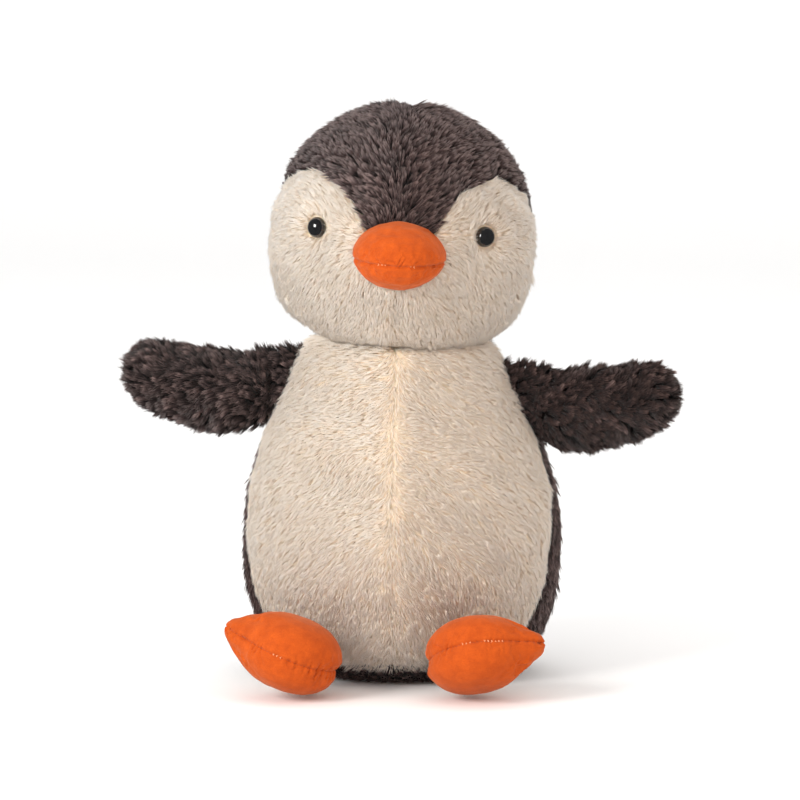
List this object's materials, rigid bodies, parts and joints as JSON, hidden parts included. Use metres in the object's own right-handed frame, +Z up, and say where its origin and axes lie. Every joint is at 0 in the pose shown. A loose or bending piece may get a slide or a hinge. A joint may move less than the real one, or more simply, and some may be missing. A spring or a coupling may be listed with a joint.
{
  "type": "plush penguin",
  "caption": "Sitting stuffed penguin with dark and cream fur panels, orange suede beak and feet, round plastic eyes, and a soft head, wings and feet that bend at their seams.",
  "frame": {"origin": "on the floor under the middle of the flat seat", "axes": "+Z up, the penguin faces -Y, its own left side is at +X"},
  "size_m": [0.3142, 0.2068, 0.3278],
  "materials": {
    "dark_fur": "matt long-pile plush, lighter at the tips",
    "cream_fur": "matt soft plush, shorter pile",
    "orange_suede": "brushed suede cloth with a fine nap",
    "eye_plastic": "polished black",
    "washer_plastic": "moulded",
    "stuffing": "loose polyester fibre",
    "lining": "plain woven lining",
    "pellets": "small beads",
    "label_ribbon": "blank satin ribbon"
  },
  "bodies": {
    "torso": {"tummy_left": "cream_fur", "tummy_right": "cream_fur", "back_left": "dark_fur", "back_right": "dark_fur", "base_gusset": "dark_fur", "body_stuffing": "stuffing", "bean_bag": "lining", "bean_pellets": "pellets", "care_label": "label_ribbon"},
    "neck": {"neck_stuffing": "stuffing"},
    "head": {"head_crown_left": "dark_fur", "head_crown_right": "dark_fur", "face_left": "cream_fur", "face_right": "cream_fur", "head_stuffing": "stuffing", "beak_upper": "orange_suede", "beak_lower": "orange_suede", "beak_stuffing": "stuffing", "eye_left": "eye_plastic", "eye_right": "eye_plastic", "eye_washer_left": "washer_plastic", "eye_washer_right": "washer_plastic"},
    "left_wing_root": {"wing_left_root": "dark_fur"},
    "left_wing": {"wing_left_front": "dark_fur", "wing_left_back": "dark_fur", "wing_left_stuffing": "stuffing"},
    "right_wing_root": {"wing_right_root": "dark_fur"},
    "right_wing": {"wing_right_front": "dark_fur", "wing_right_back": "dark_fur", "wing_right_stuffing": "stuffing"},
    "left_foot": {"foot_left_upper": "orange_suede", "foot_left_sole": "orange_suede", "foot_left_stuffing": "stuffing"},
    "right_foot": {"foot_right_upper": "orange_suede", "foot_right_sole": "orange_suede", "foot_right_stuffing": "stuffing"}
  },
  "joints": [
    {"name": "head_turn", "type": "hinge", "parent": "torso", "child": "neck", "pos_m": [-0.0025, 0, 0.1985], "axis": [0, 0, 1], "range_deg": [-20, 20]},
    {"name": "head_nod", "type": "hinge", "parent": "neck", "child": "head", "pos_m": [-0.0025, 0, 0.1985], "axis": [1, 0, 0], "range_deg": [-8, 10]},
    {"name": "left_wing_sweep", "type": "hinge", "parent": "torso", "child": "left_wing_root", "pos_m": [0.0715, -0.007, 0.1546], "axis": [0.4067, 0, -0.9135], "range_deg": [-20, 40]},
    {"name": "left_wing_raise", "type": "hinge", "parent": "left_wing_root", "child": "left_wing", "pos_m": [0.10031, -0.01003, 0.15586], "axis": [-0.1045, -0.9945, 0], "range_deg": [-40, 28]},
    {"name": "right_wing_sweep", "type": "hinge", "parent": "torso", "child": "right_wing_root", "pos_m": [-0.0705, -0.007, 0.1617], "axis": [0.4067, 0, 0.9135], "range_deg": [-20, 40]},
    {"name": "right_wing_raise", "type": "hinge", "parent": "right_wing_root", "child": "right_wing", "pos_m": [-0.09925, -0.01002, 0.16398], "axis": [-0.1045, 0.9945, 0], "range_deg": [-40, 28]},
    {"name": "left_foot_flap", "type": "hinge", "parent": "torso", "child": "left_foot", "pos_m": [0.041, -0.084, 0.01915], "axis": [-0.866, -0.5, 0], "range_deg": [-25, 18]},
    {"name": "right_foot_flap", "type": "hinge", "parent": "torso", "child": "right_foot", "pos_m": [-0.045, -0.084, 0.02186], "axis": [-0.848, 0.5299, 0], "range_deg": [-15, 28]}
  ]
}
